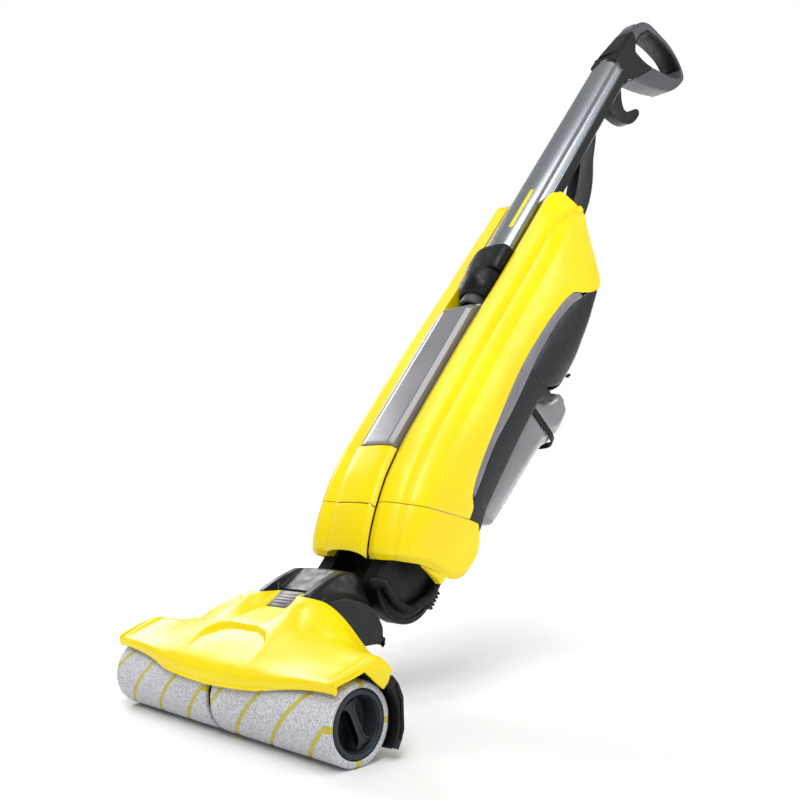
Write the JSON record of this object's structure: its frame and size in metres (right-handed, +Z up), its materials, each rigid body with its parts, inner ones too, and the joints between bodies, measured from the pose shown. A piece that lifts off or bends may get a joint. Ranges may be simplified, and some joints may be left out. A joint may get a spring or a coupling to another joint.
{
  "type": "wet dry floor scrubber",
  "caption": "Upright wet floor scrubber with side-by-side microfibre rollers under a lift-off hood, a tilting swivel neck, front and rear water tanks, an aluminium handle tube and a loop grip.",
  "frame": {"origin": "centre of the bounding box at floor level, under the machine in its working tilt", "axes": "+Z up, -Y the way the machine faces and is pushed, +X along the roller axis, to the right of someone who looks at the front of the machine"},
  "size_m": [0.314, 0.8734, 0.9154],
  "materials": {
    "hood_yellow": "glossy moulded",
    "shell_yellow": "glossy moulded",
    "sleeve_fabric": "microfibre plush",
    "cap_plastic": "fine texture",
    "cover_charcoal": "fine texture",
    "black_plastic": "fine texture",
    "grey_plastic": "satin",
    "dark_grey_plastic": "satin",
    "clear_tank": "smoked translucent",
    "tube_aluminium": "anodised satin",
    "steel": "turned",
    "rubber": "moulded",
    "circuit": "laminate"
  },
  "bodies": {
    "main_body": {"upper_shell_left": "shell_yellow", "upper_shell_right": "shell_yellow", "lower_casing_left": "shell_yellow", "lower_casing_right": "shell_yellow", "front_cover_lower": "shell_yellow", "spine": "black_plastic", "tilt_pin": "steel", "joint_drum": "black_plastic", "rear_casing": "black_plastic", "trim_band_left": "grey_plastic", "trim_band_right": "grey_plastic", "suction_motor": "steel", "water_pump": "dark_grey_plastic", "circuit_board": "circuit", "handle_tube": "tube_aluminium", "rear_channel": "black_plastic", "tube_collar": "black_plastic", "inner_tube": "dark_grey_plastic", "grip_core": "black_plastic", "grip_cover": "dark_grey_plastic", "carry_handle": "cover_charcoal", "cord_gland": "black_plastic", "suction_hose": "rubber"},
    "neck": {"neck": "black_plastic"},
    "head": {"head_chassis": "black_plastic", "side_guard_left": "black_plastic", "side_guard_right": "black_plastic", "scraper_strip": "rubber", "neck_cover": "cover_charcoal", "swivel_collar": "black_plastic", "belt_arm": "black_plastic", "belt_arm_cover": "black_plastic", "drive_belt": "rubber", "roller_motor": "steel"},
    "hood": {"roller_hood": "hood_yellow"},
    "hood_button": {"hood_release_button": "grey_plastic"},
    "roller_drive": {"drive_shaft": "steel", "drive_hub_left": "black_plastic", "drive_hub_right": "black_plastic", "roller_pulley": "black_plastic"},
    "motor_rotor": {"motor_pulley": "steel"},
    "roller_right": {"roller_sleeve_right": "sleeve_fabric", "roller_core_right": "cap_plastic", "roller_end_cap_right": "cap_plastic", "roller_pull_bar_right": "cap_plastic"},
    "roller_left": {"roller_sleeve_left": "sleeve_fabric", "roller_core_left": "cap_plastic", "roller_end_cap_left": "cap_plastic", "roller_pull_bar_left": "cap_plastic"},
    "dirty_tank": {"dirty_water_tank": "clear_tank", "dirty_tank_bung": "rubber", "tank_float": "grey_plastic", "front_cover_upper": "shell_yellow"},
    "fresh_tank": {"fresh_water_tank": "clear_tank", "tank_strap": "black_plastic"},
    "fresh_cap": {"fresh_tank_cap": "grey_plastic"},
    "fan": {"suction_fan": "dark_grey_plastic"},
    "cable_hook": {"upper_cable_hook": "black_plastic"},
    "power_switch": {"power_button": "grey_plastic"}
  },
  "joints": [
    {"name": "body_tilt", "type": "hinge", "parent": "main_body", "child": "neck", "pos_m": [0, -0.23172, 0.128], "axis": [1, 0, 0], "range_deg": [-24, 36]},
    {"name": "head_swivel", "type": "hinge", "parent": "neck", "child": "head", "pos_m": [0, -0.23172, 0.128], "axis": [0, -0.8192, -0.5736], "range_deg": [-35, 35]},
    {"name": "hood_lift", "type": "slide", "parent": "head", "child": "hood", "axis": [0, 0, 1], "range_m": [0, 0.06]},
    {"name": "hood_button_press", "type": "slide", "parent": "hood", "child": "hood_button", "axis": [0, 0, -1], "range_m": [0, 0.0018], "stiffness_N_per_m": 400},
    {"name": "roller_drive_spin", "type": "hinge", "parent": "head", "child": "roller_drive", "pos_m": [0, -0.40371, 0.03065], "axis": [1, 0, 0], "continuous": true},
    {"name": "motor_spin", "type": "hinge", "parent": "head", "child": "motor_rotor", "pos_m": [0, -0.33771, 0.036], "axis": [1, 0, 0], "continuous": true},
    {"name": "roller_right_pull", "type": "slide", "parent": "roller_drive", "child": "roller_right", "axis": [1, 0, 0], "range_m": [0, 0.07]},
    {"name": "roller_left_pull", "type": "slide", "parent": "roller_drive", "child": "roller_left", "axis": [-1, 0, 0], "range_m": [0, 0.07]},
    {"name": "dirty_tank_pull", "type": "slide", "parent": "main_body", "child": "dirty_tank", "axis": [0, -0.7815, 0.6239], "range_m": [0, 0.08]},
    {"name": "fresh_tank_pull", "type": "slide", "parent": "main_body", "child": "fresh_tank", "axis": [0, 0.7815, -0.6239], "range_m": [0, 0.1]},
    {"name": "fresh_cap_turn", "type": "hinge", "parent": "fresh_tank", "child": "fresh_cap", "pos_m": [0, 0.01064, 0.30817], "axis": [0, 0.6239, 0.7815], "range_deg": [0, 90]},
    {"name": "fan_spin", "type": "hinge", "parent": "main_body", "child": "fan", "pos_m": [0, 0.02131, 0.40329], "axis": [0, 0.6239, 0.7815], "continuous": true},
    {"name": "cable_hook_turn", "type": "hinge", "parent": "main_body", "child": "cable_hook", "pos_m": [0, 0.23145, 0.76911], "axis": [0, 0.7815, -0.6239], "range_deg": [0, 180]},
    {"name": "power_press", "type": "slide", "parent": "main_body", "child": "power_switch", "axis": [0, 0.6613, -0.7501], "range_m": [0, 0.0012], "stiffness_N_per_m": 500}
  ],
  "couplings": [
    {"joint": "motor_spin", "follows": "roller_drive_spin", "ratio": 1.3333}
  ]
}
